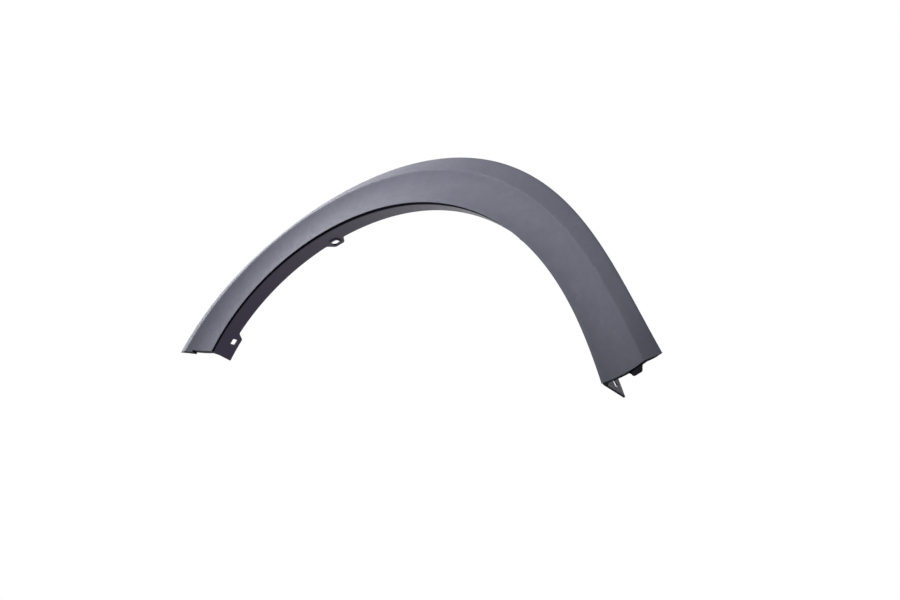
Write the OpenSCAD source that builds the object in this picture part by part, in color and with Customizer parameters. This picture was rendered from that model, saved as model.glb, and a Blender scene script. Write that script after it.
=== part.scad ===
// Wheel arch trim: the moulded plastic strip that edges a car's wheel opening.
// X runs along the car, +Y points into the car and +Z points up. The visible face looks along -Y.
// The origin is the shoulder of the locating pin on the hidden side, straight above the wheel's centre.
// Each list of sizes is read at equal steps along the arch, from the sill end to the bumper end.

/* [Arch] */
// Radius of the wheel opening, measured to the rounded lip
opening_r = [385, 388.5, 391, 387, 389.5, 395]; // [350:0.5:430]
// Angle at which the sill end is cut, from the horizontal through the wheel's centre
sill_angle = 17.4; // [10:0.2:30]
// Angle at which the bumper end is cut
bumper_angle = 138.8; // [120:0.2:145]
// How far the sill end's cut leans from the radial direction
sill_cut_lean = 4.5; // [0:0.5:15]
// How far the bumper end's cut leans from the radial direction
bumper_cut_lean = 27.5; // [0:0.5:32]
// How far the sill end's cut tilts from square to the face. Less than 0 leaves the flange longer.
sill_cut_tilt = -3.5; // [-10:0.5:10]
// How far the bumper end's cut tilts from square to the face. More than 0 leaves the flange longer.
bumper_cut_tilt = 14; // [-10:0.5:20]
// How much further the band reaches than the face and the flange at the bumper end
bumper_step = 2.5; // [0.5:0.5:5]
// Distance from the lip at which the longer part starts
bumper_step_at = 42; // [30:0.5:52]

/* [Section] */
// Width of the main face, from the lip to the crease
face_w = [53, 45, 43, 42, 39, 55.5]; // [35:0.5:65]
// How far the main face falls back toward the body, from the lip to the crease
face_drop = [12.5, 7.5, 15.5, 9, 6]; // [4:0.5:20]
// Width of the outer band, from the crease to the edge on the body panel
band_w = [20.5, 19.5, 18.5, 11.5, 18]; // [9:0.5:30]
// How far the outer band falls back toward the body
band_drop = [9, 12.5, 19, 12, 9]; // [7:0.5:25]
// Hollow of the main face
face_sag = 1.2; // [0:0.1:2.5]
// Thickness of the wall
wall = 3; // [2.4:0.1:3.4]
// Width of the foot that bears on the body panel
foot_w = 3.2; // [2.4:0.1:5]
// Half width of the rounded crease
crease_round = 2.4; // [1:0.1:4]
// Radius of the rounded lip
lip_round = 1.8; // [1.2:0.1:3]

/* [Flange] */
// Depth of the return flange, from the lip to its free edge
flange_depth = [30, 21, 23.5, 24.5, 22.5]; // [18:0.5:32]
// How much nearer the wheel the flange gets, per millimetre of depth
flange_lean = 0.23; // [0.1:0.01:0.35]
// Thickness of the return flange
flange_wall = 2.5; // [1.8:0.1:3.5]
// Width of the shadow groove between the lip and the flange
groove_w = 2.4; // [1.6:0.1:3]
// Depth of the shadow groove
groove_depth = 1.8; // [0.8:0.1:2.6]

/* [Fixing points] */
// Angle of each screw ear on the flange
ear_angles = [103.4, 52]; // [30:0.1:125]
// How far an ear reaches past the flange's free edge
ear_out = 8.5; // [6:0.5:12]
// Half length of an ear along the arch, without its fillets
ear_half = 6.5; // [5:0.5:14]
// Length of the fillet on each side of an ear
ear_fillet = 11; // [6:0.5:16]
// Distance from an ear's edge to the middle of its screw hole
ear_hole_in = 8; // [7:0.5:12]
// Length of the oval screw hole, along the arch
ear_hole_l = 12; // [9:0.5:15]
// Width of the oval screw hole
ear_hole_w = 7.5; // [5:0.5:8]
// Width of the raised rim round the screw hole
rim_w = 2.4; // [1.5:0.1:3]
// Height of the raised rim
rim_h = 1.2; // [0.6:0.1:2]
// Length of the pad at the bumper end, along the arch
bumper_pad_l = 41; // [34:1:48]
// How far that pad reaches past the flange's edge where it starts
bumper_pad_step = 8; // [4:0.5:12]
// How much further it reaches at the end cut
bumper_pad_rise = 0; // [0:0.5:10]
// Square hole in the bumper pad: length along the arch, then width
bumper_hole = [8.5, 6.5]; // [5:0.5:10]
// Distance from the bumper end's cut to the middle of its hole
bumper_hole_in = 23.5; // [16:0.5:28]
// Depth of the middle of that hole
bumper_hole_depth = 22; // [16:0.5:26]
// Length of the pad at the sill end, along the arch
sill_pad_l = 62; // [50:1:80]
// Length over which that pad runs out into the flange's edge
sill_pad_fade = 28; // [15:1:40]
// How far that pad reaches past the flange's edge at the end cut
sill_pad_rise = 18; // [12:0.5:22]
// Slot in the sill pad: length, then width
sill_slot = [9.5, 5.5]; // [4:0.5:16]
// Distance from the sill end's cut to the middle of the slot
sill_slot_in = 9; // [8:0.5:14]
// Depth of the middle of the slot
sill_slot_depth = 32.5; // [28:0.5:36]
// How far the slot's lower end turns away from the lip
sill_slot_turn = 13; // [0:1:30]

/* [Hidden side] */
// Radius of the locating pin
pin_r = 4; // [3:0.25:6]
// Length of the locating pin past its shoulder
pin_l = 14; // [8:0.5:20]
// Radius of the boss that carries the pin
pin_boss_r = 8; // [6.5:0.25:10]
// Depth of the pin's shoulder behind the lip
pin_shoulder = 24; // [20:0.5:28]
// Place of the pin between the lip and the crease, as a share of the face's width
pin_place = 0.55; // [0.4:0.01:0.65]
// Angle of each clip tower
tower_angles = [27, 44, 63, 77, 104, 119, 133]; // [20:1:135]
// Length of a clip tower along the arch
tower_l = 22; // [16:0.5:30]
// Width of a clip tower across the arch
tower_w = 17; // [14:0.5:20]
// Height of a clip tower above the face's inner side
tower_h = 11; // [8:0.5:14]
// Wall of a clip tower
tower_wall = 2; // [1.4:0.1:3]
// Radius of the keyhole's round end
key_r = 4.5; // [3:0.25:6]
// Width of the keyhole's slot
key_slot = 5; // [3:0.25:7]
// Angle between two ribs in the channel behind the lip
rib_step = 9.4; // [6:0.2:15]
// Thickness of a rib
rib_t = 1.6; // [1:0.1:2.5]
// Height of a rib along the flange
rib_h = 10; // [6:0.5:14]
// How far a rib runs out over the face
rib_l = 15; // [10:0.5:20]

/* [Locating tongue] */
// Width of the tongue at the sill end
tongue_w = 20.5; // [16:0.5:24]
// How far the tongue reaches past the end cut
tongue_out = 7.5; // [6:0.5:12]
// Length of the tongue's root inside the trim
tongue_root = 26; // [16:1:40]
// Thickness of the tongue
tongue_t = 3; // [2:0.1:4]
// Distance from the lip to the tongue's nearer side
tongue_from_lip = 28; // [25:0.5:32]
// Radius of the tongue's free corners
tongue_round = 2.5; // [1:0.5:3]
// How far the tongue's nearer side slants in toward its free end
tongue_slant = 5; // [0:0.5:7]

/* [Hidden] */
plastic = [0.30, 0.30, 0.33];

// Sizes along the arch. The place t is 0 at the sill end and 1 at the bumper end.
// One smooth curve runs through all the sizes of a list.
function share(n, i, s, j = 0) = j > n ? 1 : (j == i ? 1 : (s - j) / (i - j)) * share(n, i, s, j + 1);
function along(v, t, i = 0) = let (n = len(v) - 1) i > n ? 0 : v[i] * share(n, i, n * t) + along(v, t, i + 1);
function place(angle) = (angle - sill_angle) / (bumper_angle - sill_angle);
function lip_r(t) = along(opening_r, t);
middle_r = lip_r(0.5);
function arc_mm(degrees) = degrees * PI / 180 * middle_r;
function arc_angle(mm) = mm * 180 / PI / middle_r;
function smooth(x) = let (c = min(1, max(0, x))) c * c * (3 - 2 * c);

// The end cuts are flat, so a point further out or deeper is turned by this angle at the cut.
function cut_turn(r, depth, r0, lean, tilt) = lean - asin(r0 * sin(lean) / r) + atan(depth * tan(tilt) / r);
cut_fade = 5;
function turned(t, r, depth) = sill_angle + (bumper_angle - sill_angle) * t
    + cut_turn(r, depth, lip_r(0), sill_cut_lean, sill_cut_tilt) * pow(1 - t, cut_fade)
    + cut_turn(r, depth, lip_r(1), bumper_cut_lean, bumper_cut_tilt) * pow(t, cut_fade);

// Free edge of the flange, with its ears and end pads.
function ear_at(angle, ear) =
    ear_out * (1 - smooth((abs(arc_mm(angle - ear)) - ear_half) / ear_fillet));
function bumper_pad_at(angle) = let (past = bumper_pad_l - arc_mm(bumper_angle - angle))
    bumper_pad_step * smooth(past / bumper_pad_step) + bumper_pad_rise * max(0, past) / bumper_pad_l;
function sill_pad_at(angle) = sill_pad_rise * smooth((sill_pad_l - arc_mm(angle - sill_angle)) / sill_pad_fade);
function flange_edge(t) = let (angle = sill_angle + (bumper_angle - sill_angle) * t)
    along(flange_depth, t) + ear_at(angle, ear_angles[0]) + ear_at(angle, ear_angles[1])
    + bumper_pad_at(angle) + sill_pad_at(angle);

// Depth of the outer surface at a distance e from the lip.
function face_depth(t, e) = let (s = e / along(face_w, t))
    along(face_drop, t) * s + face_sag * 4 * s * (1 - s);
function band_depth(t, e) =
    along(face_drop, t) + along(band_drop, t) * (e - along(face_w, t)) / along(band_w, t);

// Places along the arch: even steps, with closer ones where the flange's edge turns.
coarse = 2.6;
function around(angle, reach, step) = [for (a = [-reach : step : reach]) angle + arc_angle(a)];
ear_reach = ear_half + ear_fillet;
all_angles = concat(
    [for (i = [0 : floor((bumper_angle - sill_angle) / coarse)]) sill_angle + i * coarse],
    [for (a = ear_angles) each around(a, ear_reach, ear_reach / 7)],
    [for (i = [0 : 4]) bumper_angle - arc_angle(bumper_pad_l - bumper_pad_step * i / 4)],
    [for (i = [0 : 4]) sill_angle + arc_angle(sill_pad_l - sill_pad_fade * i / 4)],
    [bumper_angle - arc_angle(6), bumper_angle]);
function sorted(v) = len(v) < 2 ? v : let (pivot = v[floor(len(v) / 2)])
    concat(sorted([for (x = v) if (x < pivot) x]), [for (x = v) if (x == pivot) x],
        sorted([for (x = v) if (x > pivot) x]));
ordered = [for (a = sorted(all_angles)) if (a >= sill_angle && a <= bumper_angle) a];
last_angle = len(ordered) - 1;
angles = [for (i = [0 : last_angle])
    if (i == 0 || i == last_angle
        || (ordered[i] - ordered[i - 1] > 0.22 && bumper_angle - ordered[i] > 0.3)) ordered[i]];

// One cross-section as pairs of outer and inner points [e, depth], from the foot to the flange's edge.
function section(t) = let (
        fw = along(face_w, t), bw = along(band_w, t), w = fw + bw,
        d = along(face_drop, t) + along(band_drop, t), c = crease_round,
        edge = flange_edge(t), lr = lip_round, g = lr + groove_w, back = groove_depth + 2,
        q = face_depth(t, back) + wall, k = max(g + 1.2, q + 1.5), corner = k - q)
    [
        [[w - 0.7, d], [w - foot_w, d]],
        [[w, d - 0.8], [w - foot_w - 1.6, min(d - 0.4, band_depth(t, w - foot_w - 1.6) + 0.9 * wall)]],
        [[fw + bw * 0.5, band_depth(t, fw + bw * 0.5) - 0.3], [fw + bw * 0.45, band_depth(t, fw + bw * 0.45) + wall]],
        [[fw + c, band_depth(t, fw + c)], [fw + c * 0.6, band_depth(t, fw + c * 0.6) + wall]],
        [[fw + c / 3, band_depth(t, fw + c / 3) + 0.3], [fw, face_depth(t, fw) + wall + 0.2]],
        [[fw - c / 2, face_depth(t, fw - c / 2) + 0.1], [fw - c, face_depth(t, fw - c) + wall]],
        [[fw * 0.8, face_depth(t, fw * 0.8)], [fw * 0.78, face_depth(t, fw * 0.78) + wall]],
        [[fw * 0.52, face_depth(t, fw * 0.52)], [fw * 0.52, face_depth(t, fw * 0.52) + wall]],
        [[fw * 0.26, face_depth(t, fw * 0.26)], [fw * 0.28, face_depth(t, fw * 0.28) + wall]],
        [[lr, face_depth(t, lr)], [back + 3.6, face_depth(t, back + 3.6) + wall]],
        [[lr * (1 - sin(35)), lr * (1 - cos(35)) + 0.25], [back + 2, face_depth(t, back + 2) + wall]],
        [[lr * (1 - sin(68)), lr * (1 - cos(68)) + 0.15], [back + 1, q + 0.06 * corner]],
        [[0, lr], [back + 0.4, q + 0.12 * corner]],
        [[0.5 * groove_depth, lr + 0.3 * groove_w], [back, q + 0.2 * corner]],
        [[groove_depth, lr + 0.62 * groove_w], [back, q + 0.45 * corner]],
        [[groove_depth, g - 0.17 * groove_w], [back - 0.2, k]],
        [[-flange_lean * g, g], [flange_wall - flange_lean * (k + 2.8), k + 2.8]],
        [[-flange_lean * edge * 0.6, edge * 0.6], [flange_wall - flange_lean * edge * 0.65, edge * 0.65]],
        [[-flange_lean * edge, edge - 0.5], [flange_wall - flange_lean * edge, edge - 0.4]],
        [[0.6 - flange_lean * edge, edge], [flange_wall - 0.6 - flange_lean * edge, edge]]
    ];

// Straight up the wheel's radius at an angle: the local X is the radius, Y is the depth, Z is along the arch.
module at_angle(angle, e, depth) {
    t = place(angle);
    rotate([0, -angle, 0]) translate([lip_r(t) + e, depth, 0]) children();
}

function point(t, p) = let (r = lip_r(t) + p[0], a = turned(t, r, p[1])) [r * cos(a), p[1], r * sin(a)];

// The shell: face, band, lip, groove and flange swept round the arch.
module shell() {
    rows = [for (a = angles) let (t = place(a)) [for (pair = section(t)) for (p = pair) point(t, p)]];
    pairs = len(section(0));
    ring = 2 * pairs;
    last = len(rows) - 1;
    // Walks round one section: the outer points, then the inner points back.
    loop = concat([for (i = [0 : pairs - 1]) 2 * i], [for (i = [pairs - 1 : -1 : 0]) 2 * i + 1]);
    sides = [for (k = [0 : last - 1]) for (i = [0 : ring - 1])
        let (a = k * ring + loop[i], b = k * ring + loop[(i + 1) % ring]) each
            [[a, b, b + ring], [a, b + ring, a + ring]]];
    caps = [for (i = [0 : pairs - 2]) let (a = 2 * i, b = 2 * last * pairs + 2 * i) each
        [[a, a + 1, a + 2], [a + 1, a + 3, a + 2], [b, b + 2, b + 1], [b + 1, b + 2, b + 3]]];
    polyhedron([for (row = rows) each row], concat(sides, caps), convexity = 12);
}

// A stadium-shaped bar along the arch, through the flange.
module oval_bar(l, w, from, to) {
    for (z = [-1, 1] * (l - w) / 2) translate([from, 0, z]) rotate([0, 90, 0]) cylinder(r = w / 2, h = to - from, $fn = 48);
    translate([from, -w / 2, -(l - w) / 2]) cube([to - from, w, l - w]);
}

flange_tilt = atan(flange_lean);
module on_flange(angle, depth) {
    at_angle(angle, -flange_lean * depth, depth) rotate([0, 0, flange_tilt]) children();
}

function ear_hole_depth(angle) = along(flange_depth, place(angle)) + ear_out - ear_hole_in;
module ear_rim(angle) {
    on_flange(angle, ear_hole_depth(angle)) oval_bar(ear_hole_l + 2 * rim_w, ear_hole_w + 2 * rim_w, -rim_h, flange_wall / 2);
}

module ear_hole(angle) {
    on_flange(angle, ear_hole_depth(angle)) oval_bar(ear_hole_l, ear_hole_w, -rim_h - 2, flange_wall + 3);
}

module bumper_pad_hole() {
    l = bumper_hole[0];
    w = bumper_hole[1];
    on_flange(bumper_angle - arc_angle(bumper_hole_in), bumper_hole_depth)
        translate([-3, -w / 2, -l / 2]) cube([flange_wall + 6, w, l]);
}

module sill_pad_slot() {
    on_flange(sill_angle + arc_angle(sill_slot_in), sill_slot_depth)
        rotate([sill_slot_turn, 0, 0]) oval_bar(sill_slot[0], sill_slot[1], -3, flange_wall + 3);
}

// A hollow tower, open toward the crease, with a keyhole in its top for a push-in clip.
// Its foot follows the slope of the face, and its top is square to the clip.
module clip_tower(angle) {
    t = place(angle);
    middle = along(face_w, t) * 0.6;
    low = middle - tower_w / 2;
    high = middle + tower_w / 2;
    top = face_depth(t, middle) + wall + tower_h;
    foot = wall * 0.45;
    at_angle(angle, 0, 0) difference() {
        translate([0, 0, -tower_l / 2]) linear_extrude(tower_l)
            polygon([[low, face_depth(t, low) + foot], [high, face_depth(t, high) + foot], [high, top], [low, top]]);
        translate([low + tower_wall, 0, -tower_l / 2 + tower_wall])
            cube([tower_w, top - tower_wall, tower_l - 2 * tower_wall]);
        translate([middle, 0, 0]) rotate([-90, 0, 0]) cylinder(r = key_r, h = top + 1, $fn = 48);
        translate([middle, 0, -key_slot / 2]) cube([tower_w, top + 1, key_slot]);
    }
}

// Boss and pin near the crown, which place the trim on the body before the clips go in.
module locating_pin() {
    t = place(90);
    middle = along(face_w, t) * pin_place;
    low = middle - pin_boss_r;
    high = middle + pin_boss_r;
    foot = wall * 0.45;
    straight = pin_l - pin_r / 2;
    at_angle(90, 0, 0) {
        intersection() {
            translate([middle, 0, 0]) rotate([-90, 0, 0]) cylinder(r = pin_boss_r, h = pin_shoulder, $fn = 64);
            translate([0, 0, -pin_boss_r]) linear_extrude(2 * pin_boss_r)
                polygon([[low, face_depth(t, low) + foot], [high, face_depth(t, high) + foot],
                    [high, pin_shoulder + 1], [low, pin_shoulder + 1]]);
        }
        translate([middle, pin_shoulder - 1, 0]) rotate([-90, 0, 0]) cylinder(r = pin_r, h = straight + 1, $fn = 64);
        translate([middle, pin_shoulder + straight, 0]) rotate([-90, 0, 0])
            cylinder(r1 = pin_r, r2 = pin_r / 2, h = pin_r / 2, $fn = 64);
    }
}

// Small triangular webs that stiffen the corner between the face and the flange.
module channel_rib(angle) {
    t = place(angle);
    root = groove_depth + 1.2;
    top = lip_round + groove_w + rib_h;
    at_angle(angle, 0, 0) translate([0, 0, -rib_t / 2]) linear_extrude(rib_t)
        polygon([[root, wall + 1], [rib_l, face_depth(t, rib_l) + wall * 0.6],
            [rib_l, face_depth(t, rib_l) + wall + 1.2],
            [flange_wall * 0.6 - flange_lean * top + 1.2, top], [flange_wall * 0.6 - flange_lean * top, top],
            [root - 0.6, lip_round + groove_w + 2]]);
}
rib_angles = [for (a = [sill_angle + 5 : rib_step : bumper_angle - 4])
    if (min([for (e = ear_angles) abs(a - e)]) > arc_angle(ear_half + 2)) a];

// Flat tongue that slips behind the neighbouring sill trim.
module locating_tongue() {
    t = 0;
    depth = face_depth(t, tongue_from_lip + tongue_w / 2) + wall * 0.6;
    // The end cut at the tongue lies a little up the arch from the cut at the lip.
    lift = (tongue_from_lip + tongue_w / 2) * tan(sill_cut_lean);
    r = tongue_round;
    end = tongue_out - lift;
    at_angle(sill_angle, tongue_from_lip, depth) rotate([-90, 0, 0]) linear_extrude(tongue_t) union() {
        translate([0, -tongue_root]) square([tongue_w, tongue_root - lift]);
        polygon([[0, -lift - 1], [tongue_w, -lift - 1], [tongue_w, end - r], [tongue_w - r, end],
            [tongue_slant + r, end], [tongue_slant, end - r], [0, -lift]]);
        for (x = [tongue_slant + r, tongue_w - r]) translate([x, end - r]) circle(r, $fn = 48);
    }
}

// What is cut off the face and the flange, so that the outer band ends a little lower.
module bumper_end_step() {
    r = lip_r(1);
    run = sqrt(pow(r + bumper_step_at, 2) - pow(r * sin(bumper_cut_lean), 2)) - r * cos(bumper_cut_lean);
    inward = flange_lean * (flange_depth[4] + bumper_pad_step + bumper_pad_rise) + 5;
    at_angle(bumper_angle, 0, 0) rotate([0, -bumper_cut_lean, 0]) rotate([bumper_cut_tilt, 0, 0])
        translate([-inward, -wall, -bumper_step]) cube([inward + run, pin_shoulder + pin_l + wall, 6 * bumper_step]);
}

origin_t = place(90);
origin = [0, pin_shoulder, lip_r(origin_t) + along(face_w, origin_t) * pin_place];

module wheel_arch_trim() {
    color(plastic) translate(-origin) difference() {
        union() {
            shell();
            for (a = ear_angles) ear_rim(a);
            for (a = tower_angles) clip_tower(a);
            for (a = rib_angles) channel_rib(a);
            locating_pin();
            locating_tongue();
        }
        for (a = ear_angles) ear_hole(a);
        bumper_pad_hole();
        sill_pad_slot();
        bumper_end_step();
    }
}

wheel_arch_trim();
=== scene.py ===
"""Finish, camera and light of a moulded wheel arch trim.

The trim's own frame is kept: X runs along the car, +Y points into the car, +Z points up, and the
origin is the shoulder of the locating pin. Lengths are in millimetres up to the mesh builders,
which turn them into metres.
"""
import math

import bmesh
import bpy
from mathutils import Matrix, Vector


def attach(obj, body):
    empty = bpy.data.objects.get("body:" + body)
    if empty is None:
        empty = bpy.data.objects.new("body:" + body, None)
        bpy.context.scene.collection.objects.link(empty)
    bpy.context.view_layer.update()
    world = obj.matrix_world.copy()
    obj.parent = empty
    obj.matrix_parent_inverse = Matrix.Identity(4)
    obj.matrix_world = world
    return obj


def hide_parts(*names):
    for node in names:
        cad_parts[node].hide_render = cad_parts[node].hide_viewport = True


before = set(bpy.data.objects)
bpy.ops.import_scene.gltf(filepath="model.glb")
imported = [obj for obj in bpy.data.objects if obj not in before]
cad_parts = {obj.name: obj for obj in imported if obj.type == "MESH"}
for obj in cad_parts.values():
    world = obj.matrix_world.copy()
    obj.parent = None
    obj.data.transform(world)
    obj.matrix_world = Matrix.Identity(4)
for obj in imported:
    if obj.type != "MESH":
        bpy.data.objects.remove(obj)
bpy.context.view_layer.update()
NODE = "wheel_arch_trim"
MM = 0.001

# Driving sizes, in millimetres and degrees. A list is read from the sill end to the bumper end.
OPENING_R = [385.0, 388.5, 391.0, 387.0, 389.5, 395.0]
SILL_ANGLE = 17.4
BUMPER_ANGLE = 138.8
CROWN_ANGLE = 90
SILL_CUT_LEAN = 4.5
BUMPER_CUT_LEAN = 27.5
SILL_CUT_TILT = -3.5
BUMPER_CUT_TILT = 14.0
BUMPER_STEP = 2.5
BUMPER_STEP_AT = 42.0
FACE_W = [53.0, 45.0, 43.0, 42.0, 39.0, 55.5]
FACE_DROP = [12.5, 7.5, 15.5, 9.0, 6.0]
FACE_SAG = [4.6, 4.4, 3.0, 2.3]
BAND_W = [20.5, 19.5, 18.5, 11.5, 18.0]
BAND_DROP = [9.0, 12.5, 19.0, 12.0, 9.0]
BAND_CROWN = 0.8
WALL = 3.0
FOOT_W = 3.2
LIP_THICK = 1.8
GROOVE_W = [2.2, 5.4, 2.9, 1.1]
FLANGE_DEPTH = [30.0, 21.0, 23.5, 24.5, 22.5]
FLANGE_LEAN = 0.23
FLANGE_WALL = 2.5
EAR_ANGLES = [103.4, 52.0]
EAR_OUT = 8.5
EAR_HALF = 6.5
EAR_FILLET = 11.0
EAR_HOLE_IN = 8.0
EAR_HOLE_L = 12.0
EAR_HOLE_W = 7.5
RIM_W = 2.4
RIM_H = 1.2
BUMPER_PAD_L = 41.0
BUMPER_PAD_STEP = 8.0
BUMPER_HOLE = [8.5, 6.5]
BUMPER_HOLE_ROUND = 1.2
BUMPER_HOLE_IN = 23.5
BUMPER_HOLE_DEPTH = 22.0
SILL_PAD_L = 62.0
SILL_PAD_FADE = 28.0
SILL_PAD_RISE = 18.0
SILL_SLOT = [9.5, 7.0]
SILL_SLOT_IN = 9.0
SILL_SLOT_DEPTH = 32.5
SILL_SLOT_TURN = 13.0
PIN_R = 4.0
PIN_L = 14.0
PIN_BOSS_R = 8.0
PIN_SHOULDER = 24.0
PIN_PLACE = 0.55
TOWER_ANGLES = [27, 44, 63, 77, 104, 119, 133]
TOWER_PLACE = 0.6
TOWER_L = 22.0
TOWER_W = 17.0
TOWER_H = 11.0
TOWER_WALL = 2.0
KEY_R = 4.5
KEY_SLOT = 5.0
RIB_FROM_SILL = 5
RIB_FROM_BUMPER = 4
RIB_STEP = 9.4
RIB_CLEAR = 2
RIB_ROOT = 3.0
RIB_ROOT_DEPTH = 1
RIB_ROOT_SLANT = 0.6
RIB_GROOVE_GAP = 2
RIB_EDGE = 1.2
RIB_T = 1.6
RIB_H = 10.0
RIB_L = 15.0
TONGUE_W = 21.0
TONGUE_OUT = 7.5
TONGUE_ROOT = 26.0
TONGUE_T = 3.0
TONGUE_FROM_LIP = 26.5
TONGUE_ROUND = 2.5
TONGUE_SLANT = 5.0
TONGUE_FAR_SLANT = 2.0

# Section of the visible side: how far its rounded corners reach, and the plain points between them.
LIP_FRONT = 0.1
LIP_REACH = 0.6
CREASE_REACH = 1.7
EDGE_REACH = 0.7
LIP_GAP = 1.2
CREASE_GAP = 2.4
BAND_GAP = 0.3
FOOT_GAP = 1.5
FACE_POINTS = 14
BAND_POINTS = 5

# Section of the groove and of the hidden side.
LIP_BACK = 1.6
LIP_BACK_REACH = 0.2
GROOVE_CEILING = 1.7
GROOVE_FLOOR = 1.6
GROOVE_REACH = 0.3
BACK_CORNER = 3.8
BACK_CORNER_SLANT = 0.2
FACE_CORNER_REACH = 0.5
FLANGE_CORNER_REACH = 0.7
ROOT_BEHIND_GROOVE = 1.2
ROOT_BEHIND_FACE = 1.5
ROOT_FILLET = 2.8
ROOT_REACH = 2
BACK_GAP = 1.5
CREASE_BACK_DROP = 0.2
CREASE_BACK_REACH = 1.2
CREASE_BACK_GAPS = (3, 2.5)
FOOT_SLOPE = 1.6
FOOT_CLEAR = 0.4
FOOT_WALL = 0.9 * WALL
FOOT_TOP_REACH = 0.3
FOOT_END_REACH = 0.4

# The wall is thicker at the end cuts, over a share of the arch, and thinner in seats round holes.
SILL_RETURN = 1.8
BUMPER_RETURN = 5.0
RETURN_SPAN = 0.016
SEAT_MARGIN = 2.0
SEAT_WALL = 1.2

# How fast the lean of an end cut fades along the arch, as a power.
CUT_FADE = 5

# Where the roots of the hidden pieces lie inside a wall, as a share of it from its outer side.
FOOT_SUNK = 0.45
ROOT_SUNK = 0.6

# How far the cutters run past what they cut.
CUT_FRONT = 4
CUT_BEHIND = 7
RIM_CUT = 6
SEAT_CUT = 2
STEP_CUT = 15
TOWER_CUT = 5
KEY_CUT = 1

# Mesh steps, and the bevels of small edges.
ARCH_STEPS = 460
CLOSE_STEP = 0.7
RETURN_STEPS = 8
CLOSEST = 0.0004
NEARLY_STRAIGHT = 1.55
CIRCLE_STEPS = 48
CORNER_STEPS = 8
SLOT_STEPS = 10
KEY_STEPS = 40
RIM_BEVEL = 0.55
TOWER_BEVEL = 0.35
TONGUE_BEVEL = 0.5
BEVEL_ANGLE = 40
SHARP_ANGLE = 32


# The arch
def along(sizes, t):
    """A size at the place t, which runs from 0 at the sill end to 1 at the bumper end."""
    s = (len(sizes) - 1) * t
    total = 0.0
    for i, size in enumerate(sizes):
        weight = 1.0
        for j in range(len(sizes)):
            if j != i:
                weight *= (s - j) / (i - j)
        total += size * weight
    return total


def place(angle):
    return (angle - SILL_ANGLE) / (BUMPER_ANGLE - SILL_ANGLE)


MIDDLE_R = along(OPENING_R, 0.5)


def arc_mm(degrees):
    return math.radians(degrees) * MIDDLE_R


def arc_angle(mm):
    return math.degrees(mm / MIDDLE_R)


def smooth(x):
    c = min(1.0, max(0.0, x))
    return c * c * (3 - 2 * c)


ORIGIN_T = place(CROWN_ANGLE)
ORIGIN_E = along(FACE_W, ORIGIN_T) * PIN_PLACE
ORIGIN = Vector((0, PIN_SHOULDER, along(OPENING_R, ORIGIN_T) + ORIGIN_E))


def cut_turn(r, depth, r0, lean, tilt):
    return (lean - math.degrees(math.asin(r0 * math.sin(math.radians(lean)) / r))
            + math.degrees(math.atan(depth * math.tan(math.radians(tilt)) / r)))


def turned(t, r, depth):
    """The angle of a point: the end cuts are flat, so they lean off the radius and off the depth."""
    sill_turn = cut_turn(r, depth, OPENING_R[0], SILL_CUT_LEAN, SILL_CUT_TILT)
    bumper_turn = cut_turn(r, depth, OPENING_R[-1], BUMPER_CUT_LEAN, BUMPER_CUT_TILT)
    return (SILL_ANGLE + (BUMPER_ANGLE - SILL_ANGLE) * t
            + sill_turn * (1 - t) ** CUT_FADE + bumper_turn * t ** CUT_FADE)


def arch_point(t, e, depth):
    """A point at a distance e outside the lip and a depth behind it, in metres."""
    r = along(OPENING_R, t) + e
    a = math.radians(turned(t, r, depth))
    return (Vector((r * math.cos(a), depth, r * math.sin(a))) - ORIGIN) * MM


def at_angle(angle, e=0.0, depth=0.0):
    """The local frame of a feature: X out along the radius, Y into the car, Z up the arch."""
    a = math.radians(angle)
    r = along(OPENING_R, place(angle)) + e
    spin = Matrix(((math.cos(a), 0, -math.sin(a)), (0, 1, 0), (math.sin(a), 0, math.cos(a))))
    where = Vector((r * math.cos(a), depth, r * math.sin(a))) - ORIGIN
    return Matrix.Translation(where) @ spin.to_4x4()


def on_flange(angle, depth):
    """The same frame, tilted to lie square on the flange."""
    tilt = Matrix.Rotation(math.atan(FLANGE_LEAN), 4, "Z")
    return at_angle(angle, -FLANGE_LEAN * depth, depth) @ tilt


# The cross-section
def face_depth(t, e):
    s = e / along(FACE_W, t)
    return along(FACE_DROP, t) * s + along(FACE_SAG, t) * 4 * s * (1 - s)


def band_depth(t, e):
    s = (e - along(FACE_W, t)) / along(BAND_W, t)
    return along(FACE_DROP, t) + along(BAND_DROP, t) * s - BAND_CROWN * s * (1 - s)


def foot_plane(t):
    """The depth at which the outer band's foot rests on the body panel."""
    return along(FACE_DROP, t) + along(BAND_DROP, t)


def groove_root(t):
    """The depth at which the groove ends and the flange starts."""
    return LIP_THICK + along(GROOVE_W, t)


def flange_edge(t):
    """The depth of the flange's edge, which swells into the ears and the pads."""
    angle = SILL_ANGLE + (BUMPER_ANGLE - SILL_ANGLE) * t
    edge = along(FLANGE_DEPTH, t)
    for ear in EAR_ANGLES:
        edge += EAR_OUT * (1 - smooth((abs(arc_mm(angle - ear)) - EAR_HALF) / EAR_FILLET))
    past = BUMPER_PAD_L - arc_mm(BUMPER_ANGLE - angle)
    edge += BUMPER_PAD_STEP * smooth(past / BUMPER_PAD_STEP)
    return edge + SILL_PAD_RISE * smooth((SILL_PAD_L - arc_mm(angle - SILL_ANGLE)) / SILL_PAD_FADE)


def flange_side(depth, behind=0.0):
    """A point on the flange's side toward the wheel, or in the wall behind that side."""
    return (behind - FLANGE_LEAN * depth, depth)


def arc_point(corner, before, after, reach, half, s):
    """A point of the arc that touches both sides of a corner, s running from 0 to 1 along it."""
    centre = corner + (before + after).normalized() * (reach / math.cos(half))
    start = corner + before * reach - centre
    end = corner + after * reach - centre
    sweep = start.angle(end)
    return centre + (start * math.sin((1 - s) * sweep) + end * math.sin(s * sweep)) / math.sin(sweep)


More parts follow.
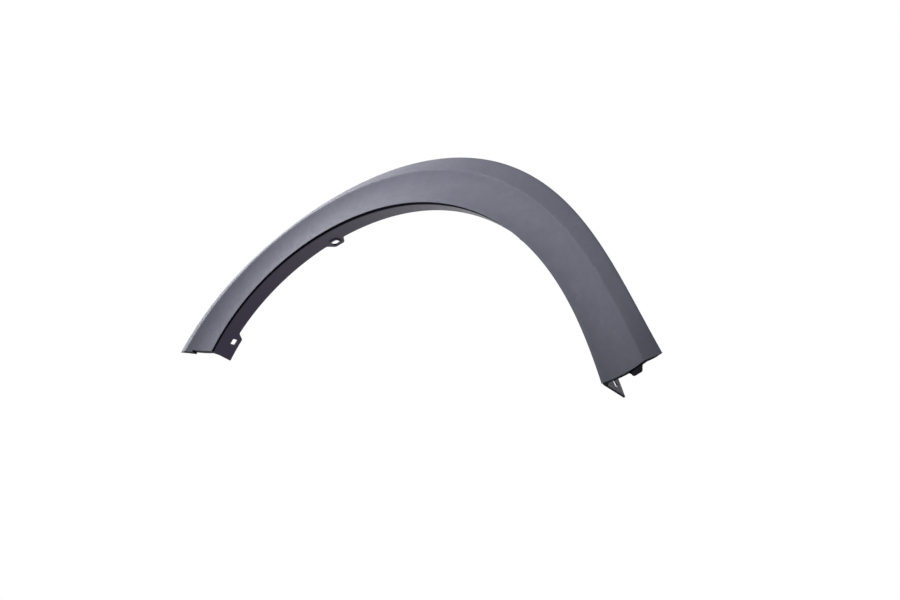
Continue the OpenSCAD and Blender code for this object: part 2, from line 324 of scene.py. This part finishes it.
def rounded(path):
    """Rounds corners (e, depth, reach, steps), from the reach before each to the reach after it.

    A reach of 0 keeps a plain point.
    """
    points = []
    for i, (e, depth, reach, steps) in enumerate(path):
        corner = Vector((e, depth))
        if reach == 0:
            points.append(corner)
            continue
        before = Vector(path[i - 1][:2]) - corner
        after = Vector(path[(i + 1) % len(path)][:2]) - corner
        before.normalize()
        after.normalize()
        half = before.angle(after) / 2
        for k in range(steps + 1):
            s = k / steps
            if half > NEARLY_STRAIGHT:
                points.append(corner + (after * s + before * (1 - s)) * reach)
            else:
                points.append(arc_point(corner, before, after, reach, half, s))
    return points


def run(start, end, count, curve):
    """Plain points between two distances from the lip, without the first and the last."""
    distances = [start + (end - start) * (k + 1) / (count + 1) for k in range(count)]
    return [(e, curve(e), 0, 0) for e in distances]


def line(a, b, count):
    """Plain points between two points, without the first and the last."""
    shares = [(k + 1) / (count + 1) for k in range(count)]
    return [(a[0] + (b[0] - a[0]) * s, a[1] + (b[1] - a[1]) * s, 0, 0) for s in shares]


def outer_path(t):
    """The grained side, from the foot over the band and the face to the lip."""
    fw = along(FACE_W, t)
    w = fw + along(BAND_W, t)
    path = [(w, foot_plane(t), EDGE_REACH, 3)]
    path += run(w - FOOT_GAP, fw + CREASE_REACH + BAND_GAP, BAND_POINTS, lambda e: band_depth(t, e))
    path += [(fw, face_depth(t, fw), CREASE_REACH, 6)]
    path += run(fw - CREASE_GAP, LIP_REACH + LIP_GAP, FACE_POINTS, lambda e: face_depth(t, e))
    return path + [(0, LIP_FRONT, LIP_REACH, 7)]


def groove_path(t):
    """The shadow groove between the lip and the flange."""
    root = groove_root(t)
    return [(0, LIP_BACK, LIP_BACK_REACH, 2),
            (GROOVE_FLOOR, GROOVE_CEILING, GROOVE_REACH, 2),
            (GROOVE_FLOOR, root - GROOVE_REACH, GROOVE_REACH, 2),
            (*flange_side(root), GROOVE_REACH, 2)]


def flange_path(t):
    """The flange's side toward the wheel, and its rounded edge."""
    tip = flange_side(flange_edge(t))
    return line(flange_side(groove_root(t)), tip, 6) + [(*tip, EDGE_REACH, 3)]


def back_depth(t, front):
    """The depth of a wall's back, from the depth of its front.

    The wall is thicker at the end cuts, but stays clear of the plane that the foot rests on.
    """
    thick = SILL_RETURN * smooth(2 - 2 * t / RETURN_SPAN)
    thick += BUMPER_RETURN * smooth(2 - 2 * (1 - t) / RETURN_SPAN)
    return max(front + WALL, min(front + WALL + thick, foot_plane(t) - FOOT_CLEAR))


def back_path(t):
    """The hidden side: the flange's back, and the back of the face and the band."""
    fw = along(FACE_W, t)
    w = fw + along(BAND_W, t)
    corner = back_depth(t, face_depth(t, BACK_CORNER))
    root = max(groove_root(t) + ROOT_BEHIND_GROOVE, corner + ROOT_BEHIND_FACE)
    tip_back = flange_side(flange_edge(t), FLANGE_WALL)
    root_back = flange_side(root + ROOT_FILLET, FLANGE_WALL)
    foot = w - FOOT_W - FOOT_SLOPE
    foot_back = min(foot_plane(t) - FOOT_CLEAR, band_depth(t, foot) + FOOT_WALL)
    crease_back = back_depth(t, face_depth(t, fw) + CREASE_BACK_DROP)
    inner_gap, outer_gap = CREASE_BACK_GAPS
    path = [(*tip_back, EDGE_REACH, 3)]
    path += line(tip_back, root_back, 4)
    path += [(*root_back, ROOT_REACH, 2)]
    path += [(BACK_CORNER - BACK_CORNER_SLANT, root, FLANGE_CORNER_REACH, 2)]
    path += [(BACK_CORNER, corner, FACE_CORNER_REACH, 3)]
    path += run(BACK_CORNER + BACK_GAP, fw - inner_gap, 6, lambda e: back_depth(t, face_depth(t, e)))
    path += [(fw, crease_back, CREASE_BACK_REACH, 3)]
    path += run(fw + outer_gap, foot, 2, lambda e: back_depth(t, band_depth(t, e)))
    path += [(foot, foot_back, FOOT_TOP_REACH, 2)]
    return path + [(w - FOOT_W, foot_plane(t), FOOT_END_REACH, 2)]


PATHS = (outer_path, groove_path, flange_path, back_path)


def section(t):
    return rounded([point for path in PATHS for point in path(t)])


def count_points(path):
    return sum(steps + 1 if reach else 1 for _, _, reach, steps in path)


# Mesh builders
def new_object(name, mesh_builder, material, *more_materials):
    mesh = bpy.data.meshes.new(name)
    for finish in (material, *more_materials):
        mesh.materials.append(finish)
    bm = bmesh.new()
    mesh_builder(bm)
    bmesh.ops.recalc_face_normals(bm, faces=bm.faces)
    bm.to_mesh(mesh)
    bm.free()
    obj = bpy.data.objects.new(name, mesh)
    bpy.context.scene.collection.objects.link(obj)
    return obj


def places_along():
    """Places of the sections: even steps, and closer ones at the returns and along the ears and pads."""
    places = [k / ARCH_STEPS for k in range(ARCH_STEPS + 1)]
    half_step = BUMPER_PAD_STEP / 2
    half_fade = SILL_PAD_FADE / 2
    spans = [(ear, EAR_HALF + EAR_FILLET) for ear in EAR_ANGLES]
    spans += [(BUMPER_ANGLE - arc_angle(BUMPER_PAD_L - half_step), half_step)]
    spans += [(SILL_ANGLE + arc_angle(SILL_PAD_L - half_fade), half_fade)]
    for middle, reach in spans:
        count = int(reach / CLOSE_STEP)
        places += [place(middle + arc_angle(reach * k / count)) for k in range(-count, count + 1)]
    for k in range(RETURN_STEPS + 1):
        inset = RETURN_SPAN * k / RETURN_STEPS
        places += [inset, 1 - inset]
    places = sorted(t for t in places if 0 <= t <= 1)
    kept = [t for t, before in zip(places[1:-1], places) if min(t - before, 1 - t) > CLOSEST]
    return [0.0] + kept + [1.0]


def swept_shell(bm):
    """The skin: one ring of points at each place, whose faces take the finish of their path."""
    rows = [[bm.verts.new(arch_point(t, p.x, p.y)) for p in section(t)] for t in places_along()]
    ring = len(rows[0])
    # The groove's faces take the second finish, a near-black painted shade for the shadow in the groove.
    finish = [k for k, path in enumerate(PATHS) for _ in range(count_points(path(0)))]
    for first, second in zip(rows, rows[1:]):
        for i in range(ring):
            j = (i + 1) % ring
            face = bm.faces.new((first[i], first[j], second[j], second[i]))
            face.material_index = max(finish[i], finish[j])
    # The end caps take the groove's finish: painted shade on the cut ends, which face away from the
    # light.
    for cap in (rows[0], list(reversed(rows[-1]))):
        bm.faces.new(cap).material_index = PATHS.index(groove_path)


def prism(bm, outline, low, high, matrix):
    """An outline of (x, y) points drawn out along the local Z, in millimetres."""
    ends = [[bm.verts.new((matrix @ Vector((x, y, z))) * MM) for x, y in outline] for z in (low, high)]
    bm.faces.new(list(reversed(ends[0])))
    bm.faces.new(ends[1])
    for i in range(len(outline)):
        j = (i + 1) % len(outline)
        bm.faces.new((ends[0][i], ends[0][j], ends[1][j], ends[1][i]))


def round_box(length, width, radius, steps):
    """Outline of a box with rounded corners, centred on the origin."""
    points = []
    for k, (sx, sy) in enumerate(((1, 1), (-1, 1), (-1, -1), (1, -1))):
        for i in range(steps + 1):
            a = math.radians(90 * (k + i / steps))
            points.append((sx * (length / 2 - radius) + radius * math.cos(a),
                           sy * (width / 2 - radius) + radius * math.sin(a)))
    return points


def slot_outline(length, width):
    """Outline of a slot with round ends, kept just short of a half circle there."""
    return round_box(length, width, width / 2 - 0.001, SLOT_STEPS)


def circle(radius):
    turns = [math.tau * k / CIRCLE_STEPS for k in range(CIRCLE_STEPS)]
    return [(radius * math.cos(a), radius * math.sin(a)) for a in turns]


# Turn a prism drawn along the local Z so that it runs along X, or against Y.
ALONG_X = Matrix(((0, 0, 1, 0), (0, 1, 0, 0), (-1, 0, 0, 0), (0, 0, 0, 1)))
AGAINST_Y = Matrix.Rotation(math.radians(90), 4, "X")


def apply_modifiers(obj):
    view = bpy.context.evaluated_depsgraph_get()
    mesh = bpy.data.meshes.new_from_object(obj.evaluated_get(view))
    obj.modifiers.clear()
    obj.data = mesh


def carve(obj, cutter_builder, material):
    """Cuts a shape out of an object, in a material, and keeps the result as plain mesh."""
    cutter = new_object(obj.name + "_cutter", cutter_builder, material)
    cut = obj.modifiers.new("cut", "BOOLEAN")
    cut.operation = "DIFFERENCE"
    cut.solver = "EXACT"
    cut.material_mode = "TRANSFER"
    cut.object = cutter
    apply_modifiers(obj)
    bpy.data.objects.remove(cutter)


def soften(obj, width):
    """Bevels an object's edges and keeps the result as plain mesh."""
    bevel = obj.modifiers.new("soft edges", "BEVEL")
    bevel.width = width * MM
    bevel.segments = 2
    bevel.limit_method = "ANGLE"
    bevel.angle_limit = math.radians(BEVEL_ANGLE)
    apply_modifiers(obj)


def shade(obj):
    """Smooth shading, with sharp edges where the surface turns by more than the sharp angle."""
    bm = bmesh.new()
    bm.from_mesh(obj.data)
    for face in bm.faces:
        face.smooth = True
    for edge in bm.edges:
        paired = len(edge.link_faces) == 2
        edge.smooth = paired and edge.calc_face_angle(0) < math.radians(SHARP_ANGLE)
    bm.to_mesh(obj.data)
    bm.free()


def finish_piece(obj):
    shade(obj)
    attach(obj, "root")
    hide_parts(NODE)


# The moulded plastic. Scales are in cells per metre, and the grain's depths are in metres.
CLOUD_SCALE = 26
SHEEN_SCALE = 140
CELL_SCALE = 950
CELL_DEPTH = 0.00012
SPECK_SCALE = 1900
SPECK_DEPTH = 0.0001
SPECK_SHARE = 0.7


def moulded_plastic(name, colours, roughness, grain, gloss, gloss_tint):
    material = bpy.data.materials.new(name)
    material.use_nodes = True
    nodes = material.node_tree.nodes
    links = material.node_tree.links
    shader = nodes["Principled BSDF"]
    shader.inputs["Specular IOR Level"].default_value = gloss
    shader.inputs["Specular Tint"].default_value = (*gloss_tint, 1)
    where = nodes.new("ShaderNodeTexCoord")

    def noise(scale, detail, spread_out):
        node = nodes.new("ShaderNodeTexNoise")
        node.inputs["Scale"].default_value = scale
        node.inputs["Detail"].default_value = detail
        node.inputs["Roughness"].default_value = spread_out
        links.new(where.outputs["Object"], node.inputs["Vector"])
        return node.outputs["Fac"]

    def remap(value, low, high):
        between = nodes.new("ShaderNodeMapRange")
        between.inputs["From Min"].default_value = 0.3
        between.inputs["From Max"].default_value = 0.7
        between.inputs["To Min"].default_value = low
        between.inputs["To Max"].default_value = high
        links.new(value, between.inputs["Value"])
        return between.outputs["Result"]

    def bump(height, strength, depth):
        node = nodes.new("ShaderNodeBump")
        node.inputs["Strength"].default_value = strength
        node.inputs["Distance"].default_value = depth
        links.new(height, node.inputs["Height"])
        return node

    # Slow, faint clouds in the colour and the gloss, as moulded plastic has after handling.
    tint = nodes.new("ShaderNodeMix")
    tint.data_type = "RGBA"
    tint.inputs["A"].default_value = (*colours[0], 1)
    tint.inputs["B"].default_value = (*colours[1], 1)
    links.new(remap(noise(CLOUD_SCALE, 4, 0.6), 0, 1), tint.inputs["Factor"])
    links.new(tint.outputs["Result"], shader.inputs["Base Color"])
    links.new(remap(noise(SHEEN_SCALE, 3, 0.6), *roughness), shader.inputs["Roughness"])

    # Fine grain: cells about a millimetre across, with smaller noise on them.
    cells = nodes.new("ShaderNodeTexVoronoi")
    cells.feature = "F1"
    cells.inputs["Scale"].default_value = CELL_SCALE
    links.new(where.outputs["Object"], cells.inputs["Vector"])
    coarse = bump(cells.outputs["Distance"], grain, CELL_DEPTH)
    fine = bump(noise(SPECK_SCALE, 2, 0.5), grain * SPECK_SHARE, SPECK_DEPTH)
    links.new(coarse.outputs["Normal"], fine.inputs["Normal"])
    links.new(fine.outputs["Normal"], shader.inputs["Normal"])
    return material


# Four finishes: the visible side, the flange, the hidden side, and a near-black painted shade on the
# groove, end cuts and tongue
COOL = (0.90, 0.92, 1.0)
VIOLET = (0.82, 0.74, 1.0)
GRAINED = moulded_plastic("grained_plastic", ((0.105, 0.107, 0.143), (0.119, 0.121, 0.160)),
                          (0.60, 0.70), 0.03, 0.35, COOL)
SMOOTH = moulded_plastic("smooth_plastic", ((0.027, 0.021, 0.046), (0.032, 0.025, 0.053)),
                         (0.34, 0.42), 0.05, 0.5, VIOLET)
BACK = moulded_plastic("back_plastic", ((0.031, 0.027, 0.043), (0.037, 0.032, 0.051)),
                       (0.55, 0.65), 0.05, 0.11, VIOLET)
# Near-black painted shade: the groove, the end cuts and the tongue lie in shadow, and this colour paints
# that shadow.
PAINTED_SHADE = moulded_plastic("painted_shade_plastic", ((0.008, 0.007, 0.011), (0.011, 0.010, 0.015)),
                       (0.55, 0.65), 0.05, 0.06, VIOLET)


# The shell with its holes
def ear_hole_frame(angle):
    depth = along(FLANGE_DEPTH, place(angle)) + EAR_OUT - EAR_HOLE_IN
    return on_flange(angle, depth) @ ALONG_X


def bumper_hole_frame():
    return on_flange(BUMPER_ANGLE - arc_angle(BUMPER_HOLE_IN), BUMPER_HOLE_DEPTH) @ ALONG_X


def sill_slot_frame():
    spin = Matrix.Rotation(math.radians(SILL_SLOT_TURN), 4, "X")
    return on_flange(SILL_ANGLE + arc_angle(SILL_SLOT_IN), SILL_SLOT_DEPTH) @ spin @ ALONG_X


def flange_cuts(bm):
    """Cutters through the flange, drawn in the flange's own plane and run out along its normal."""
    for angle in EAR_ANGLES:
        hole = slot_outline(EAR_HOLE_L, EAR_HOLE_W)
        prism(bm, hole, -CUT_FRONT, CUT_BEHIND, ear_hole_frame(angle))
    hole = round_box(*BUMPER_HOLE, BUMPER_HOLE_ROUND, CORNER_STEPS)
    prism(bm, hole, -CUT_FRONT, CUT_BEHIND, bumper_hole_frame())
    prism(bm, slot_outline(*SILL_SLOT), -CUT_FRONT, CUT_BEHIND, sill_slot_frame())


def thin_seats(bm):
    """Shallow seats that thin the wall: behind the ears' holes, and on the wheel's side of the slot."""
    wide = 2 * SEAT_MARGIN
    for angle in EAR_ANGLES:
        seat = slot_outline(EAR_HOLE_L + wide, EAR_HOLE_W + wide)
        prism(bm, seat, SEAT_WALL, FLANGE_WALL + SEAT_CUT, ear_hole_frame(angle))
    seat = slot_outline(SILL_SLOT[0] + wide, SILL_SLOT[1] + wide)
    prism(bm, seat, -SEAT_CUT, FLANGE_WALL - SEAT_WALL, sill_slot_frame())


def end_step(bm):
    """What is taken off the face and the flange at the bumper end, so that the outer band ends lower."""
    r = OPENING_R[-1]
    lean = math.radians(BUMPER_CUT_LEAN)
    run_out = math.sqrt((r + BUMPER_STEP_AT) ** 2 - (r * math.sin(lean)) ** 2) - r * math.cos(lean)
    deep = PIN_SHOULDER + PIN_L
    outline = [(-STEP_CUT, -WALL), (run_out, -WALL), (run_out, deep), (-STEP_CUT, deep)]
    end = at_angle(BUMPER_ANGLE) @ Matrix.Rotation(-lean, 4, "Y")
    end = end @ Matrix.Rotation(math.radians(BUMPER_CUT_TILT), 4, "X")
    prism(bm, outline, -BUMPER_STEP, 5 * BUMPER_STEP, end)


# The shell's materials are in the order of its paths.
shell = new_object("trim_shell", swept_shell, GRAINED, PAINTED_SHADE, SMOOTH, BACK)
carve(shell, flange_cuts, SMOOTH)
carve(shell, thin_seats, SMOOTH)
# The faces cut by the end step take the near-black painted shade, as they face down into shade.
carve(shell, end_step, PAINTED_SHADE)
finish_piece(shell)


# Raised rims round the ears' holes
def ear_rim(angle):
    local = ear_hole_frame(angle)

    def ring(bm):
        outline = slot_outline(EAR_HOLE_L + 2 * RIM_W, EAR_HOLE_W + 2 * RIM_W)
        prism(bm, outline, -RIM_H, SEAT_WALL / 2, local)

    def hole(bm):
        prism(bm, slot_outline(EAR_HOLE_L, EAR_HOLE_W), -RIM_CUT, RIM_CUT, local)

    rim = new_object(f"ear_rim_{round(angle)}", ring, SMOOTH)
    carve(rim, hole, SMOOTH)
    soften(rim, RIM_BEVEL)
    finish_piece(rim)


for ear_angle in EAR_ANGLES:
    ear_rim(ear_angle)


# Clip towers on the hidden side, hollow toward the crease, with a keyhole in the top
def clip_tower(index, angle):
    t = place(angle)
    middle = along(FACE_W, t) * TOWER_PLACE
    low = middle - TOWER_W / 2
    high = middle + TOWER_W / 2
    top = face_depth(t, middle) + WALL + TOWER_H
    foot = WALL * FOOT_SUNK
    local = at_angle(angle)

    def body(bm):
        outline = [(low, face_depth(t, low) + foot), (high, face_depth(t, high) + foot)]
        outline += [(high, top), (low, top)]
        prism(bm, outline, -TOWER_L / 2, TOWER_L / 2, local)

    def hollow(bm):
        inside = low + TOWER_WALL
        past = high + TOWER_CUT
        ceiling = top - TOWER_WALL
        half = TOWER_L / 2 - TOWER_WALL
        prism(bm, [(inside, 0), (past, 0), (past, ceiling), (inside, ceiling)], -half, half, local)

    def keyhole(bm):
        half = KEY_SLOT / 2
        meet = math.asin(half / KEY_R)
        turns = [meet + (math.tau - 2 * meet) * k / KEY_STEPS for k in range(KEY_STEPS + 1)]
        arc = [(KEY_R * math.cos(a), KEY_R * math.sin(a)) for a in turns]
        outline = [(TOWER_W, half)] + arc + [(TOWER_W, -half)]
        on_top = local @ Matrix.Translation((middle, top, 0)) @ AGAINST_Y
        prism(bm, outline, -KEY_CUT, TOWER_WALL + KEY_CUT, on_top)

    tower = new_object(f"clip_tower_{index}", body, BACK)
    carve(tower, hollow, BACK)
    carve(tower, keyhole, BACK)
    soften(tower, TOWER_BEVEL)
    finish_piece(tower)


for number, tower_angle in enumerate(TOWER_ANGLES, 1):
    clip_tower(number, tower_angle)


# Ribs in the corner between the face and the flange
def channel_ribs(bm):
    angle = SILL_ANGLE + RIB_FROM_SILL
    while angle <= BUMPER_ANGLE - RIB_FROM_BUMPER:
        t = place(angle)
        top = groove_root(t) + RIB_H
        flange = FLANGE_WALL * ROOT_SUNK - FLANGE_LEAN * top
        end = face_depth(t, RIB_L)
        if min(abs(angle - ear) for ear in EAR_ANGLES) > arc_angle(EAR_HALF + RIB_CLEAR):
            outline = [(RIB_ROOT, WALL + RIB_ROOT_DEPTH), (RIB_L, end + WALL * ROOT_SUNK)]
            outline += [(RIB_L, end + WALL + RIB_EDGE), (flange + RIB_EDGE, top), (flange, top)]
            outline += [(RIB_ROOT - RIB_ROOT_SLANT, groove_root(t) + RIB_GROOVE_GAP)]
            prism(bm, outline, -RIB_T / 2, RIB_T / 2, at_angle(angle))
        angle += RIB_STEP


ribs = new_object("channel_ribs", channel_ribs, BACK)
finish_piece(ribs)


# Locating pin on its boss, whose foot follows the slope of the face
def pin_profile():
    """Radius and height of each turn of the pin's outline, from the boss to the rounded tip."""
    straight = PIN_L - PIN_R / 2
    return [(PIN_BOSS_R, -0.4), (PIN_BOSS_R - 0.4, 0), (PIN_R + 0.5, 0), (PIN_R, 0.5), (PIN_R, straight),
            (PIN_R * 0.94, straight + 0.5), (PIN_R / 2 + 0.2, PIN_L - 0.1), (PIN_R / 2 - 0.3, PIN_L)]


def locating_pin(bm):
    def foot(up):
        return face_depth(ORIGIN_T, ORIGIN_E + up) + FOOT_SUNK * WALL - PIN_SHOULDER

    rows = [[bm.verts.new((x * MM, foot(z) * MM, z * MM)) for x, z in circle(PIN_BOSS_R)]]
    for r, y in pin_profile():
        rows.append([bm.verts.new((x * MM, y * MM, z * MM)) for x, z in circle(r)])
    for first, second in zip(rows, rows[1:]):
        for i in range(CIRCLE_STEPS):
            j = (i + 1) % CIRCLE_STEPS
            bm.faces.new((first[i], first[j], second[j], second[i]))
    bm.faces.new(rows[0])
    bm.faces.new(rows[-1])


pin = new_object("locating_pin", locating_pin, BACK)
finish_piece(pin)


# Locating tongue at the sill end
def locating_tongue(bm):
    middle = TONGUE_FROM_LIP + TONGUE_W / 2
    depth = face_depth(0, middle) + WALL * ROOT_SUNK
    lift = middle * math.tan(math.radians(SILL_CUT_LEAN))
    end = -(TONGUE_OUT - lift)
    r = TONGUE_ROUND
    turns = [math.radians(90 * k / CORNER_STEPS) for k in range(CORNER_STEPS + 1)]
    turn = [(r * (1 - math.cos(a)), r * (1 - math.sin(a))) for a in turns]
    far = TONGUE_W - TONGUE_FAR_SLANT
    outline = [(TONGUE_W, TONGUE_ROOT), (0, TONGUE_ROOT), (0, lift)]
    outline += [(TONGUE_SLANT + x, end + y) for x, y in turn]
    outline += [(far - x, end + y) for x, y in reversed(turn)] + [(TONGUE_W, lift)]
    local = at_angle(SILL_ANGLE, TONGUE_FROM_LIP, depth)
    # The outline is drawn in the local X and Z, and its thickness runs along Y.
    flat = Matrix(((1, 0, 0, 0), (0, 0, 1, 0), (0, 1, 0, 0), (0, 0, 0, 1)))
    prism(bm, outline, 0, TONGUE_T, local @ flat)


# The tongue takes the near-black painted shade, for the shadow it lies in behind the face's end.
tongue = new_object("locating_tongue", locating_tongue, PAINTED_SHADE)
soften(tongue, TONGUE_BEVEL)
finish_piece(tongue)

# Camera: to the right of square and a little below, as the photograph was taken
CAMERA_AZIMUTH = 45.0
CAMERA_ELEVATION = -14.6
CAMERA_DISTANCE = 2650.0
FOCAL_PIXELS = 2293.0
IMAGE_WIDTH = 900
SENSOR_MM = 36.0
FAR_CLIP = 30
AIM = Vector((138.2, 0, 250.0)) - ORIGIN


def camera_basis():
    az = math.radians(CAMERA_AZIMUTH)
    el = math.radians(CAMERA_ELEVATION)
    forward = Vector((-math.sin(az) * math.cos(el), math.cos(az) * math.cos(el), -math.sin(el)))
    right = Vector((math.cos(az), math.sin(az), 0))
    return right, right.cross(forward), forward


RIGHT, UP, FORWARD = camera_basis()
camera_data = bpy.data.cameras.new("camera")
camera_data.sensor_width = SENSOR_MM
camera_data.lens = FOCAL_PIXELS / IMAGE_WIDTH * SENSOR_MM
camera_data.clip_end = FAR_CLIP
camera = bpy.data.objects.new("camera", camera_data)
bpy.context.scene.collection.objects.link(camera)
camera_place = Matrix.Translation((AIM - FORWARD * CAMERA_DISTANCE) * MM)
camera.matrix_world = camera_place @ Matrix((RIGHT, UP, -FORWARD)).transposed().to_4x4()
bpy.context.scene.camera = camera

# Lamps, placed in metres from the aim by what the camera sees: to its right, up, and toward it
LAMP_SPREAD = 70


def lamp(name, right, up, toward, size, watts):
    data = bpy.data.lights.new(name, "AREA")
    data.shape = "RECTANGLE"
    data.size = size
    data.size_y = size
    data.energy = watts
    data.spread = math.radians(LAMP_SPREAD)
    obj = bpy.data.objects.new(name, data)
    bpy.context.scene.collection.objects.link(obj)
    aim = AIM * MM
    obj.location = aim + RIGHT * right + UP * up - FORWARD * toward
    obj.rotation_euler = (aim - obj.location).to_track_quat("-Z", "Y").to_euler()
    obj.visible_camera = False


lamp("behind_left", -1.2, 0.6, -1.8, 1.6, 5.9)
lamp("high_left", -2.0, 1.5, -1.2, 1.2, 4.6)
lamp("behind_high_left", -0.7, 0.9, -1.0, 0.5, 0.3)
lamp("near_high_left", -0.8, 1.0, 0.5, 0.5, 1.5)
lamp("near_left", -1.1, 0.3, 0.2, 0.5, 1.1)
lamp("behind_right", 1.6, 0.8, -1.6, 1.2, 1.7)
lamp("right", 2.4, 0.5, 0.6, 1.2, 3.5)

# White surroundings for the camera, for reflections and through glass, and a faint light otherwise
AMBIENT = 0.02


def surroundings():
    world = bpy.data.worlds.new("surroundings")
    bpy.context.scene.world = world
    world.use_nodes = True
    nodes = world.node_tree.nodes
    links = world.node_tree.links
    nodes.clear()
    path = nodes.new("ShaderNodeLightPath")
    seen = path.outputs["Is Camera Ray"]
    for ray in ("Is Transmission Ray", "Is Glossy Ray"):
        either = nodes.new("ShaderNodeMath")
        either.operation = "MAXIMUM"
        links.new(seen, either.inputs[0])
        links.new(path.outputs[ray], either.inputs[1])
        seen = either.outputs["Value"]
    light = nodes.new("ShaderNodeBackground")
    light.inputs["Color"].default_value = (1, 1, 1, 1)
    light.inputs["Strength"].default_value = AMBIENT
    white = nodes.new("ShaderNodeBackground")
    white.inputs["Color"].default_value = (1, 1, 1, 1)
    mix = nodes.new("ShaderNodeMixShader")
    output = nodes.new("ShaderNodeOutputWorld")
    links.new(seen, mix.inputs["Fac"])
    links.new(light.outputs["Background"], mix.inputs[1])
    links.new(white.outputs["Background"], mix.inputs[2])
    links.new(mix.outputs["Shader"], output.inputs["Surface"])


surroundings()
bpy.context.scene.view_settings.view_transform = "Standard"
